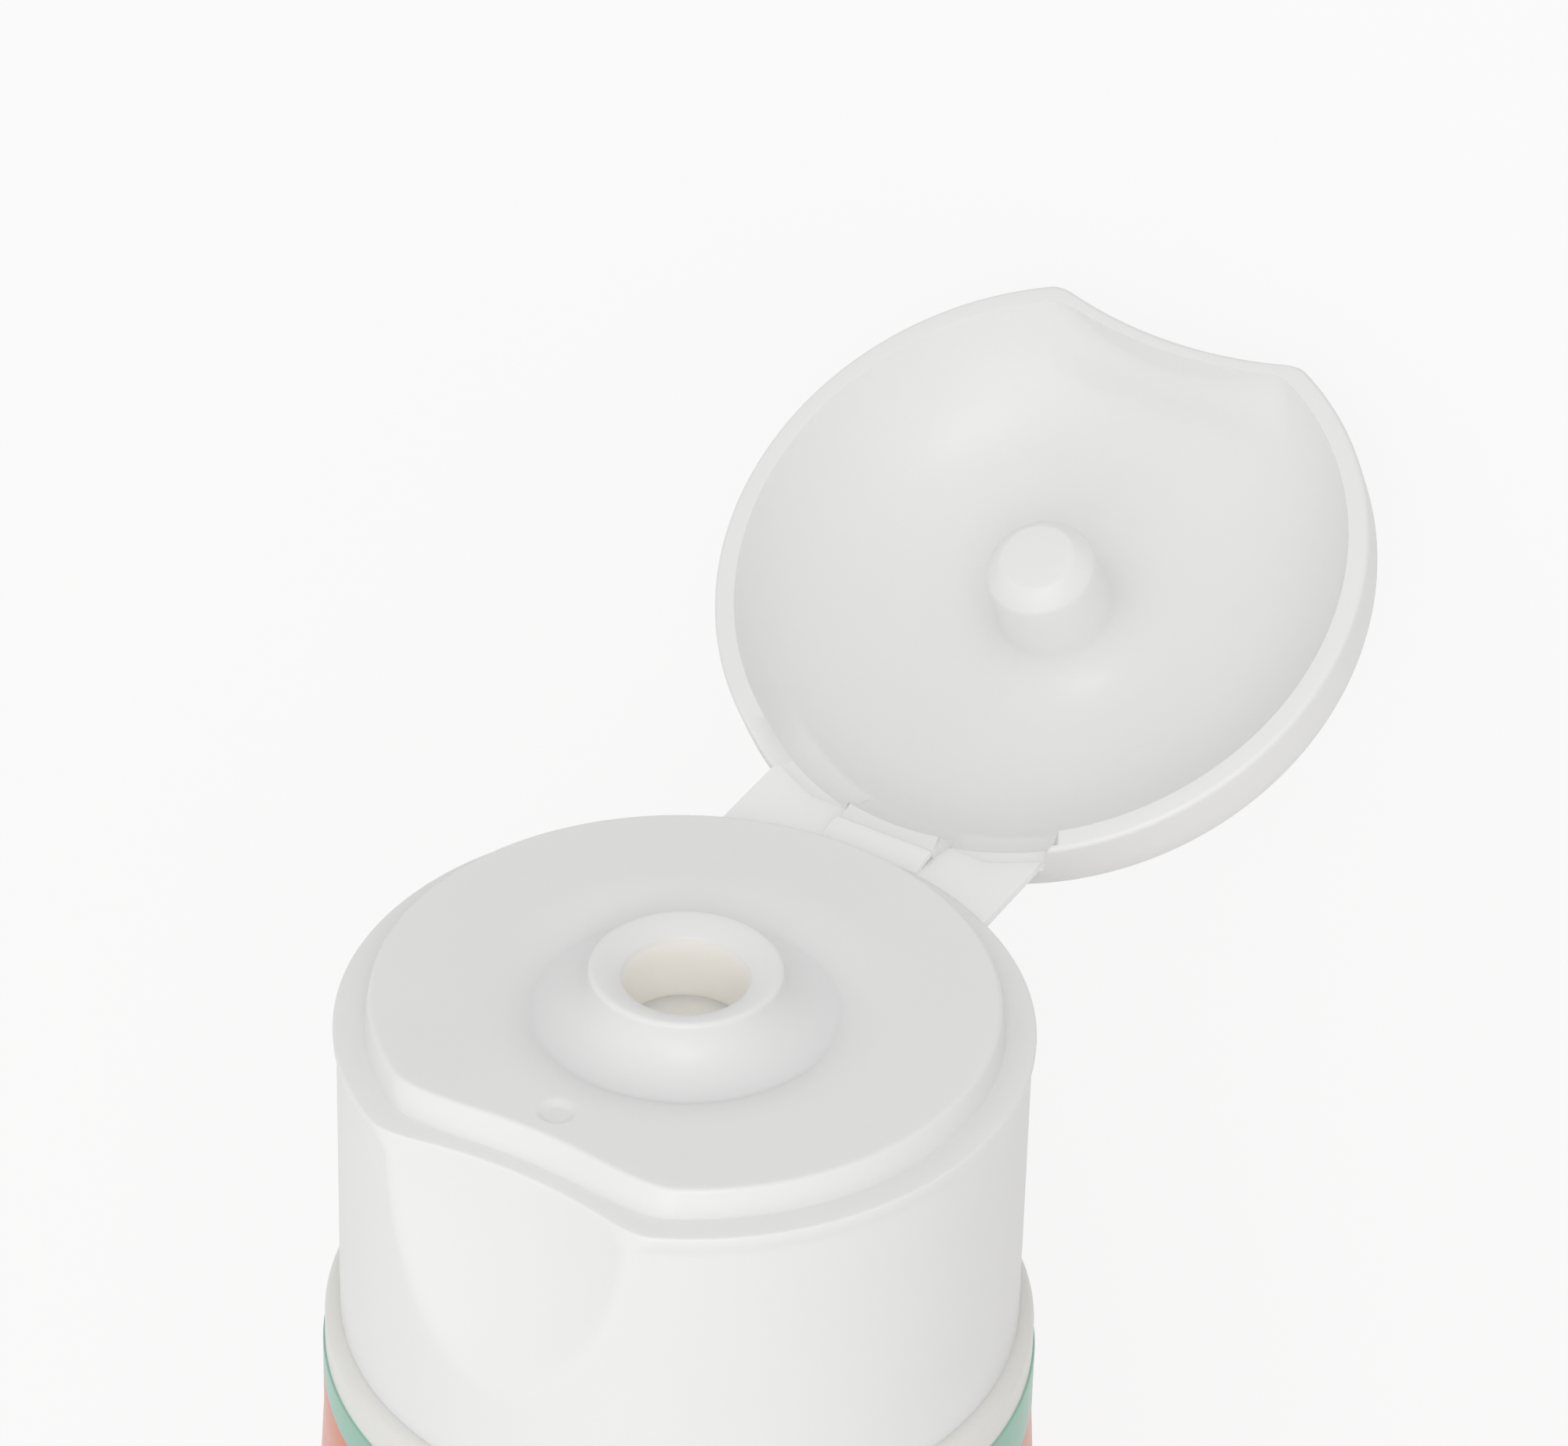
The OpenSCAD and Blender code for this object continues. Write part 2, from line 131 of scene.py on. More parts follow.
@dataclass(frozen=True)
class CapFrame:
    """Where the cap's own frame lies in the row's frame.

    Attributes:
        origin: Centre of the ledge plane, in metres.
        out: Unit vector out of the orifice.
        hinge_y: Distance of the hinge line behind the cap's axis, in millimetres.
        hinge_z: Height of the hinge line above the ledge, in millimetres.
        open_angle: Angle between the shut lid and the lid at rest, in radians.
    """

    origin: np.ndarray
    out: np.ndarray
    hinge_y: float
    hinge_z: float
    open_angle: float

    @classmethod
    def from_record(cls, record: dict[str, Any]) -> "CapFrame":
        """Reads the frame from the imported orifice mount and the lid's joint."""
        orifice = next(m for m in record["mounts"] if m["name"] == "orifice")
        hinge = next(j for j in record["behaviour"]["joints"] if j["name"] == "lid_hinge")
        out = np.array(orifice["axis"], float)
        out /= np.linalg.norm(out)
        origin = np.array(orifice["pos_m"], float)
        away = (np.array(hinge["pos_m"], float) - origin) / MM
        back = np.array([0.0, out[2], -out[1]])
        shut = math.radians(abs(hinge["range_deg"][0]))
        return cls(origin, out, float(away @ back), float(away @ out), shut)

    @property
    def axes(self) -> np.ndarray:
        """Rows are the frame's x, y and z directions in the row's frame."""
        return np.array([[1.0, 0.0, 0.0], [0.0, self.out[2], -self.out[1]], self.out])

    def place(self, points: np.ndarray) -> np.ndarray:
        """Brings points from the cap's frame, in millimetres, to the row's frame, in metres."""
        return self.origin + (points @ self.axes) * MM

    def swing(self, points: np.ndarray) -> np.ndarray:
        """Turns points of the shut lid open about the hinge line, within the cap's frame."""
        y = points[..., 1] - self.hinge_y
        z = points[..., 2] - self.hinge_z
        c, s = math.cos(self.open_angle), math.sin(self.open_angle)
        turned = [points[..., 0], self.hinge_y + y * c + z * s, self.hinge_z - y * s + z * c]
        return np.stack(turned, axis=-1)


@dataclass(frozen=True)
class CapSizes:
    """Sizes that the cap's pieces share, in millimetres, taken from the construction."""

    tube_r: float = 20.1
    collar_r: float = 19.98
    skirt_r: float = 19.1
    flange_r: float = 19.3
    flange_t: float = 0.9
    skirt_h: float = 19.2
    collar_h: float = 2.4
    wall: float = 1.2
    deck_r: float = 17.6
    deck_h: float = 1.75
    film_half: float = 3.1
    hinge_half: float = 9.2


@dataclass(frozen=True)
class ThumbRecess:
    """The barrel shaped recess that runs through the skirt, the ledge, the deck and the lid.

    Attributes:
        depth: Depth at the ledge.
        half_width: Half its width at the ledge.
        reach: Distance below the ledge at which it runs out.
        rim_r: Radius of the outline that it cuts.
    """

    depth: float = 2.9
    half_width: float = 8.0
    reach: float = 13.0
    rim_r: float = 19.3

    @property
    def bottom(self) -> float:
        """Distance of the recess's deepest line from the cap's axis."""
        return self.rim_r - self.depth

    @property
    def plan_r(self) -> float:
        """Radius of the barrel at the ledge: (w^2 + s^2) / 2s for half width w and sagitta s."""
        sag = math.sqrt(self.rim_r ** 2 - self.half_width ** 2) - self.bottom
        return (self.half_width ** 2 + sag ** 2) / (2.0 * sag)

    def barrel_r(self, z: np.ndarray) -> np.ndarray:
        """Radius of the barrel at a height: its side is an arc that runs out at the reach."""
        side = (self.reach ** 2 + self.depth ** 2) / (2.0 * self.depth)
        return self.plan_r - side + np.sqrt(side ** 2 - np.square(z))

    def distance(self, phi: np.ndarray, z: np.ndarray, grow: float = 0.0) -> np.ndarray:
        """Distance from the cap's axis to the barrel, along the directions phi.

        The barrel's section is a circle of radius b about a point D in front of the axis, so the distance is
        D cos(phi) - sqrt(b^2 - D^2 sin(phi)^2), and far away where the direction misses the circle.

        Args:
            phi: Directions, 0 towards the front, in radians.
            z: Heights over the ledge.
            grow: How much the barrel is grown.

        Returns:
            Distances, in millimetres.
        """
        axis = self.bottom + self.plan_r
        b = self.barrel_r(z) + grow
        rest = np.square(b) - np.square(axis * np.sin(phi))
        near = axis * np.cos(phi) - np.sqrt(np.clip(rest, 0.0, None))
        return np.where((rest > 0.0) & (np.cos(phi) > 0.0), near, FAR)


def link(name: str, data: bpy.types.ID, axes: np.ndarray | None = None,
         spot: np.ndarray | None = None) -> bpy.types.Object:
    """Puts new data in the scene.

    Args:
        name: Name of the object.
        data: Its mesh, camera or light.
        axes: Rows are the object's own x, y and z directions in the row's frame.
        spot: Where it stands, in metres.

    Returns:
        The object, at the origin where it is given no axes.
    """
    made = bpy.data.objects.new(name, data)
    bpy.context.scene.collection.objects.link(made)
    if axes is not None:
        matrix = np.eye(4)
        matrix[:3, :3] = axes.T
        matrix[:3, 3] = spot
        made.matrix_world = Matrix(matrix.tolist())
    return made


class MeshMaker:
    """Turns grids of points into finished objects."""

    def __init__(self, place: CapFrame) -> None:
        """Keeps the frame that the grids are worked out in."""
        self.place = place

    @staticmethod
    def faces(rows: int, columns: int, close_rows: bool) -> np.ndarray:
        """Quads between neighbouring rows of a grid whose columns run round in a closed ring."""
        i = np.arange(rows if close_rows else rows - 1)[:, None]
        j = np.arange(columns)[None, :]
        up, right = (i + 1) % rows, (j + 1) % columns
        quads = [i * columns + j, i * columns + right, up * columns + right, up * columns + j]
        return np.stack(np.broadcast_arrays(*quads), axis=-1).reshape(-1, 4)

    def surface(self, name: str, grid: np.ndarray, close_rows: bool = False,
                sharp: float = 50.0) -> bpy.types.Object:
        """Makes one object of a closed surface, given as a grid of points in the cap's frame.

        Args:
            name: Name of the object.
            grid: Array of shape (rows, columns, 3), each row a closed ring.
            close_rows: Whether the last row joins the first one.
            sharp: Edges that bend by more than this angle, in degrees, are shaded sharp.

        Returns:
            The object, at the origin, with its place in its mesh.
        """
        points = grid.reshape(-1, 3)
        quads = self.faces(grid.shape[0], grid.shape[1], close_rows)
        a, b, c, d = (points[quads[:, k]] for k in range(4))
        volume = np.einsum("ij,ij->i", a, np.cross(b, c) + np.cross(c, d)).sum()
        mesh = bpy.data.meshes.new(name)
        mesh.from_pydata(self.place.place(points), [], quads if volume > 0.0 else quads[:, ::-1])
        self._merge(mesh)
        mesh.shade_smooth()
        mesh.set_sharp_from_angle(angle=math.radians(sharp))
        return link(name, mesh)

    @staticmethod
    def _merge(mesh: bpy.types.Mesh) -> None:
        """Closes poles and seams, and drops faces that have no area."""
        work = bmesh.new()
        work.from_mesh(mesh)
        bmesh.ops.remove_doubles(work, verts=work.verts, dist=1e-6)
        bmesh.ops.dissolve_degenerate(work, edges=work.edges, dist=1e-7)
        work.to_mesh(mesh)
        work.free()


def ring_angles(count: int, front: float, back: float) -> np.ndarray:
    """Directions round the cap, closer together where the recess and the hinge cut it.

    Args:
        count: Number of evenly spaced directions.
        front: Half angle of the denser stretch at the front, in degrees.
        back: Half angle of the denser stretch at the back, in degrees.

    Returns:
        Sorted angles in radians, from 0 at the front.
    """
    even = np.linspace(0.0, 360.0, count, endpoint=False)
    dense_front = np.linspace(-front, front, count // 4) % 360.0
    dense_back = np.linspace(180.0 - back, 180.0 + back, count // 2)
    return np.radians(np.unique(np.round(np.concatenate([even, dense_front, dense_back]), 3)))


def polar_grid(phi: np.ndarray, rows: list[tuple[Any, Any]]) -> np.ndarray:
    """Grid with the points (r sin(phi), -r cos(phi), z) of each row (r, z), numbers or arrays along phi."""
    r = np.stack([np.broadcast_to(row[0], phi.shape) for row in rows])
    z = np.stack([np.broadcast_to(row[1], phi.shape) for row in rows])
    return np.stack([r * np.sin(phi), -r * np.cos(phi), z], axis=-1)


def plane_distance(phi: np.ndarray, y: float) -> np.ndarray:
    """Distance from the axis to the upright plane at y behind it, y / -cos(phi), along each direction."""
    toward = -np.cos(phi)
    return np.where(toward > 0.3, y / np.clip(toward, 0.3, None), 0.0)


@dataclass
class CapBase:
    """Skirt, ledge, deck, ring groove and nozzle of the cap, with the block that carries the hinge."""

    make: MeshMaker
    sizes: CapSizes = CapSizes()
    recess: ThumbRecess = ThumbRecess()
    soft: float = 0.35
    ledge_soft: float = 1.3
    scoop_ledge: float = 1.15
    scoop_lean: float = 0.5
    lean: float = 0.22
    corner: float = 2.2
    edge_r: float = 0.3
    ledge_edge: float = 0.15
    moat_out: float = 11.8
    moat_in: float = 8.5
    moat_z: float = 0.75
    rim_r: float = 5.38
    rim_z: float = 3.68
    mouth_r: float = 3.5
    mouth_z: float = 3.2
    bore_r: float = 3.4
    bore_end: float = -2.45
    block_y: float = 18.6
    block_half: float = 8.85
    block_z: tuple[float, float, float, float] = (-7.3, -3.8, -2.6, -1.4)
    dimple: tuple[float, float, float] = (12.6, 1.15, 0.3)
    phi: np.ndarray = field(default_factory=lambda: ring_angles(300, 32.0, 34.0))

    def _outline(self, base: float, z: float, inset: float, k: float) -> np.ndarray:
        """Outline at a height: the circle rounded into the recess, set in by a distance."""
        return smooth_min(base, self.recess.distance(self.phi, z), k) - inset

    def _deck_outline(self, base: float, ledge: float) -> np.ndarray:
        """Outline of the deck, set back behind the recess by the ledge and rounded at its corners."""
        return smooth_min(base, self.recess.distance(self.phi, 0.0, ledge), self.corner)

    def _block(self, r: np.ndarray, z: float) -> np.ndarray:
        """Outline with the hinge block, a flat across the back that fades out below and above."""
        x = np.abs(r * np.sin(self.phi))
        side = 1.0 - ramp(x, self.block_half - 0.9, self.block_half + 0.6)
        foot, low, high, top = self.block_z
        fade = float(ramp(np.array(z), foot, low) * (1.0 - ramp(np.array(z), high, top)))
        return r + (np.maximum(r, plane_distance(self.phi, self.block_y)) - r) * side * fade

    def _outside(self) -> list[tuple[np.ndarray, np.ndarray]]:
        """Rows up the skirt, over the flange's rounded edge and in across the ledge."""
        s = self.sizes
        rows = []
        for inset, dz in ((0.05, -0.15), (0.0, -0.1), (0.0, 0.1)):
            z = -s.skirt_h + 0.05 + dz
            rows.append((self._outline(s.skirt_r, z, inset, self.soft), z))
        for z in np.linspace(-s.skirt_h + 0.6, -s.flange_t - 0.5, 34):
            rows.append((self._block(self._outline(s.skirt_r, z, 0.0, self.soft), z), z))
        for z in np.linspace(-1.3, -0.25, 8):
            rise = float(ramp(np.array(z), -s.flange_t - 0.5, -0.3))
            base = s.skirt_r + (s.flange_r - s.skirt_r) * rise
            rows.append((self._outline(base, z, 0.0, self.soft + 0.9 * rise), z))
        edge = self.ledge_edge
        for inset, z in quarter(edge, -edge, -edge, edge, 0.0, 90.0, 5):
            rows.append((self._outline(s.flange_r, z, inset, self.ledge_soft), z))
        rim, foot = rows[-1][0], self._deck_outline(s.deck_r, self.scoop_ledge) + 0.15
        for t in (0.3, 0.6, 0.85, 1.0):
            rows.append((rim + (np.minimum(foot, rim) - rim) * t, 0.0))
        return rows

    def _deck(self) -> list[tuple[np.ndarray, np.ndarray]]:
        """Rows up the deck's leaning wall and in across the deck to the ring groove."""
        s = self.sizes
        rows = []
        foot = self._deck_outline(s.deck_r, self.scoop_ledge)
        top = self._deck_outline(s.deck_r - self.lean, self.scoop_ledge + self.scoop_lean)
        rows.append((foot + 0.04, 0.04))
        rows.append((foot, 0.15))
        edge = self.edge_r
        for t in (0.35, 0.6, 0.8):
            rows.append((foot + (top - foot) * t, 0.15 + (s.deck_h - edge - 0.15) * t))
        for inset, z in quarter(edge, s.deck_h - edge, -edge, edge, 0.0, 90.0, 6):
            rows.append((top - inset, z))
        rim = rows[-1][0]
        for t in np.linspace(0.0, 1.0, 34)[1:]:
            r = rim + (self.moat_out - rim) * t
            rows.append((r, self._dimpled(r)))
        return rows

    def _dimpled(self, r: np.ndarray) -> np.ndarray:
        """Height of the deck with the gate's dimple, a bowl with an even floor."""
        distance, radius, depth = self.dimple
        away = np.hypot(r * np.sin(self.phi), -r * np.cos(self.phi) + distance)
        return self.sizes.deck_h - depth * (1.0 - ramp(away, radius * 0.55, radius))

    def _nozzle(self) -> list[tuple[float, float]]:
        """Rows through the ring groove, up the flank like a bell, over the rim and down the bore."""
        s = self.sizes
        fall = np.linspace(0.0, 1.0, 16)[1:]
        wall = [(self.moat_out + (self.moat_in - self.moat_out) * t,
                 s.deck_h - (s.deck_h - self.moat_z) * t ** 2.2) for t in fall]
        lip = 0.3
        foot = self.rim_z - lip
        flank = quarter(self.moat_in, foot, self.rim_r - self.moat_in, self.moat_z - foot, 82.0, 0.0, 26)
        rim = quarter(self.rim_r - lip, foot, lip, lip, 0.0, 100.0, 8)
        dish = [(self.rim_r - lip - 0.6, self.rim_z - 0.1), (self.mouth_r + 0.45, self.mouth_z + 0.06)]
        mouth = [(self.mouth_r + 0.15, self.mouth_z - 0.07), (self.mouth_r + 0.03, self.mouth_z - 0.22),
                 (self.mouth_r, self.mouth_z - 0.45)]
        bore = [(self.bore_r, z) for z in np.linspace(self.mouth_z - 1.0, self.bore_end, 12)]
        return [*wall, *flank, *rim[1:], *dish, *mouth, *bore]

    def _underside(self) -> list[tuple[np.ndarray, np.ndarray]]:
        """Rows from the spout's end out under the deck and down inside the skirt."""
        s = self.sizes
        under = s.deck_h - s.wall
        spout = self.bore_r + s.wall
        deck = self._deck_outline(s.deck_r, self.scoop_ledge) - s.wall - 0.3
        rows = [(spout, self.bore_end), (spout, under), (deck, under), (deck, -s.wall)]
        for z in np.linspace(-s.wall - 0.1, -s.skirt_h + 0.05, 12):
            rows.append((self._outline(s.skirt_r, z, s.wall, self.soft), z))
        return rows

    def build(self) -> bpy.types.Object:
        """Makes the cap base as one closed surface."""
        rows = self._outside() + self._deck() + self._nozzle() + self._underside()
        return self.make.surface("cap_base_moulding", polar_grid(self.phi, rows), close_rows=True)


@dataclass
class Residue:
    """The little lotion that stands in the bore of the nozzle after use."""

    make: MeshMaker
    radius: float = 3.37
    level: float = -1.1
    depth: float = 1.2
    columns: int = 96

    def build(self) -> bpy.types.Object:
        """Makes the plug of lotion with its meniscus and a small swirl where it was drawn off."""
        phi = np.linspace(0.0, 2.0 * np.pi, self.columns, endpoint=False)
        rows = [(0.0, self.level - self.depth), (self.radius, self.level - self.depth)]
        for t in np.linspace(1.0, 0.0, 24):
            edge = 0.35 * t ** 8
            peak = 0.45 * math.exp(-(t / 0.3) ** 2)
            swirl = 0.08 * t * (1.0 - t) * np.sin(2.0 * phi + 9.0 * t)
            rows.append((self.radius * t, self.level + edge + peak + swirl))
        return self.make.surface("orifice_lotion", polar_grid(phi, rows))


@dataclass
class Lid:
    """The domed lid with its plug pin, worked out shut and then swung open."""

    make: MeshMaker
    sizes: CapSizes = CapSizes()
    recess: ThumbRecess = ThumbRecess()
    gap: float = 0.08
    edge_r: float = 0.3
    cut_wall: float = 0.8
    uncut_r: float = 10.0
    wall_h: float = 2.5
    height: float = 8.6
    reach: float = 9.8
    pin_r: float = 3.2
    pin_end: float = -0.5
    pin_round: float = 1.2
    tip_r: float = 2.15
    flare_z: float = 4.6
    root_r: float = 7.2
    cut_z: float = 2.0
    cut_mid_z: float = 0.9
    bowl: tuple[float, float] = (8.0, -2.6)
    phi: np.ndarray = field(default_factory=lambda: ring_angles(300, 32.0, 34.0))

    def _lift(self, r: np.ndarray) -> np.ndarray:
        """How far the rim is cut away at the back: for the straps, and less for the middle strip."""
        x = r * np.sin(self.phi)
        behind = np.cos(self.phi) < 0.0
        outer, inner = self.sizes.hinge_half, self.sizes.film_half
        straps = (1.0 - ramp(x, outer - 0.1, outer + 0.5)) * behind
        straps = straps * (1.0 - ramp(-x, outer - 1.2, outer + 3.0))
        middle = (1.0 - ramp(np.abs(x), inner, inner + 0.25)) * behind
        return self.cut_z * straps + (self.cut_mid_z - self.cut_z) * middle

    def _row(self, r: np.ndarray, z: float) -> tuple[np.ndarray, np.ndarray]:
        """One row of the shell, with its lower part lifted over the cuts."""
        fade = max(0.0, 1.0 - (z - self.gap) / (self.wall_h + 1.0))
        return r, z + self._lift(r) * fade

    def _crown(self, inset: float, count: int) -> np.ndarray:
        """Points (r, z) from the wall's top to the middle: a quarter ellipse and then the flat crown."""
        centre = self.sizes.flange_r - self.reach
        rise = self.height - self.wall_h
        arc = quarter(centre, self.wall_h, self.reach - inset, rise - inset, 0.0, 90.0, count)
        flat = np.stack([np.linspace(centre, 0.0, 8)[1:], np.full(7, self.height - inset)], axis=-1)
        return np.concatenate([arc, flat])

    def _outside(self) -> list[tuple[np.ndarray, np.ndarray]]:
        """Rows from the rim's outer edge up the wall and over the crown to its middle."""
        rows = []
        edge = self.edge_r
        for inset, dz in quarter(edge, edge, -edge, -edge, 90.0, 0.0, 5):
            z = self.gap + dz
            r = smooth_min(self.sizes.flange_r, self.recess.distance(self.phi, z), 0.6) - inset
            rows.append(self._row(r, z))
        wall = [(self.sizes.flange_r, z) for z in np.linspace(self.gap + 0.5, self.wall_h - 0.1, 9)]
        for r0, z in [*wall, *self._crown(0.0, 40)]:
            r = smooth_min(r0, self.recess.distance(self.phi, z), 0.5) if r0 > self.uncut_r else r0
            rows.append(self._row(r, z))
        return rows

    def _inside(self) -> list[tuple[np.ndarray, np.ndarray]]:
        """Rows from the rim's inner edge over the dished ceiling and its flare to the pin's tip."""
        rows: list[tuple[Any, Any]] = []
        w = self.sizes.wall
        inner = self.sizes.flange_r - w
        top = self.height - w
        centre, low = self.bowl
        start = math.asin((self.gap - low) / (top - low))
        reach = (inner - centre) / math.cos(start)
        bowl = quarter(centre, low, reach, top - low, math.degrees(start), 90.0, 48)
        bowl = bowl[bowl[:, 0] > self.root_r]
        for r0, z in [*bowl, (self.root_r + 0.4, top)]:
            thick = self.cut_wall + (w - self.cut_wall) * float(ramp(np.array(z), 0.0, 4.0))
            cut = self.recess.distance(self.phi, z, thick)
            soft = 0.7 + 3.0 * float(ramp(np.array(z), 0.3, 4.0))
            r = smooth_min(r0, cut, soft) if r0 > self.uncut_r else r0
            rows.append(self._row(r, z))
        wide = self.pin_r + 0.25
        flare = quarter(self.root_r, self.flare_z, -(self.root_r - wide), top - self.flare_z, 90.0, 0.0, 26)
        end = self.pin_end
        foot = end + self.pin_round
        side = [(self.pin_r + 0.25 * (z - foot) / (self.flare_z - foot), z)
                for z in np.linspace(self.flare_z - 0.4, foot + 0.1, 10)]
        tip = [(self.pin_r - 0.03, foot - 0.05), (self.pin_r - 0.12, foot - 0.2),
               (self.tip_r + 0.12, end + 0.1), (self.tip_r, end + 0.03), (self.tip_r - 0.15, end),
               (0.8, end), (0.0, end)]
        return [*rows, *flare, *side, *tip]

    def build(self) -> bpy.types.Object:
        """Makes the lid as one closed surface, from the crown's middle round the rim to the pin's tip."""
        rows = self._outside()[::-1] + self._inside()
        return self.make.surface("lid_moulding", self.make.place.swing(polar_grid(self.phi, rows)))


@dataclass
class Hinge:
    """The middle strip and the two side straps that join the lid to the base."""

    make: MeshMaker
    sizes: CapSizes = CapSizes()
    base_line: tuple[float, float] = (18.55, -1.35)
    lid_line: tuple[float, float] = (17.9, 2.2)
    strap_t: float = 0.5
    base_r: float = 18.95
    base_z: float = -0.3
    lid_r: float = 18.9
    film_t: float = 0.5
    film_in: float = 0.75
    film_z: tuple[float, float] = (-0.12, 0.9)
    bow: float = 0.1

    def film(self) -> bpy.types.Object:
        """Makes the middle strip, a bar with rounded edges that spans two lines across the hinge.

        The section is a super ellipse |u|^n + |v|^n = 1 with n = 6, u along the span and v through the
        thickness, and the span bows up by bow (1 - u^2). The ends shrink along a quarter circle.
        """
        place = self.make.place
        start, stop = (np.array([0.0, place.hinge_y - self.film_in, z]) for z in self.film_z)
        start, stop = start[1:], place.swing(stop)[1:]
        a = np.linspace(0.0, 2.0 * np.pi, 72, endpoint=False)
        u, v = (np.sign(f(a)) * np.abs(f(a)) ** (2.0 / 6.0) for f in (np.cos, np.sin))
        length = float(np.linalg.norm(stop - start))
        along = (stop - start) / length
        up = np.array([-along[1], along[0]])
        far = self.sizes.film_half + 0.1
        edge = 0.3 * self.film_t
        turn = np.linspace(0.0, np.pi / 2.0, 6)[1:]
        ease, lips = np.sin(turn), edge * (1.0 - np.cos(turn))
        shrink = np.concatenate([[0.0], ease, np.ones(10), ease[::-1], [0.0]])
        flat = np.linspace(edge - far, far - edge, 12)[1:-1]
        x = np.concatenate([[-far], lips - far, flat, far - lips[::-1], [far]])
        rows = []
        for xi, k in zip(x, shrink):
            inset = edge * (1.0 - k) if 0.0 < k < 1.0 else 0.0
            su = u * (length / 2.0 + 0.1 - inset) * (k > 0.0)
            sv = (v * (self.film_t / 2.0 - inset) + self.bow * (1.0 - np.square(u))) * (k > 0.0)
            yz = (start + stop) / 2.0 + np.outer(su, along) + np.outer(sv, up)
            rows.append(np.column_stack([np.full(len(a), xi), yz]))
        return self.make.surface("hinge_film_strip", np.array(rows))

    def strap(self, side: int) -> bpy.types.Object:
        """Makes one side strap, a flat web whose ends follow the round edges of the base and of the lid.

        Args:
            side: -1 for the left one, +1 for the right one.

        Returns:
            The strap's object.
        """
        x = np.linspace(self.sizes.film_half - 0.25, self.sizes.hinge_half - 0.35, 20)
        base = np.stack([x, np.sqrt(self.base_r ** 2 - x ** 2), np.full_like(x, self.base_z)], axis=-1)
        lid = np.stack([x, np.minimum(self.lid_line[0] + 0.1, np.sqrt(self.lid_r ** 2 - x ** 2)),
                        np.full_like(x, self.lid_line[1])], axis=-1)
        lid = self.make.place.swing(lid)
        along = lid - base
        up = np.stack([np.zeros_like(x), -along[:, 2], along[:, 1]], axis=-1)
        up /= np.linalg.norm(up, axis=-1, keepdims=True)
        u = np.concatenate([np.linspace(0.0, 1.0, 10), np.linspace(1.0, 0.0, 10)])
        v = np.concatenate([np.full(10, 0.5), np.full(10, -0.5)]) * self.strap_t
        grid = base[:, None] + along[:, None] * u[:, None] + up[:, None] * v[:, None]
        caps = [grid.mean(axis=1, keepdims=True)[i] + 0.0 * grid[i] for i in (0, -1)]
        grid = np.concatenate([caps[0][None], grid, caps[1][None]])
        grid[..., 0] *= side
        name = "hinge_strap_left_web" if side < 0 else "hinge_strap_right_web"
        return self.make.surface(name, grid, sharp=40.0)


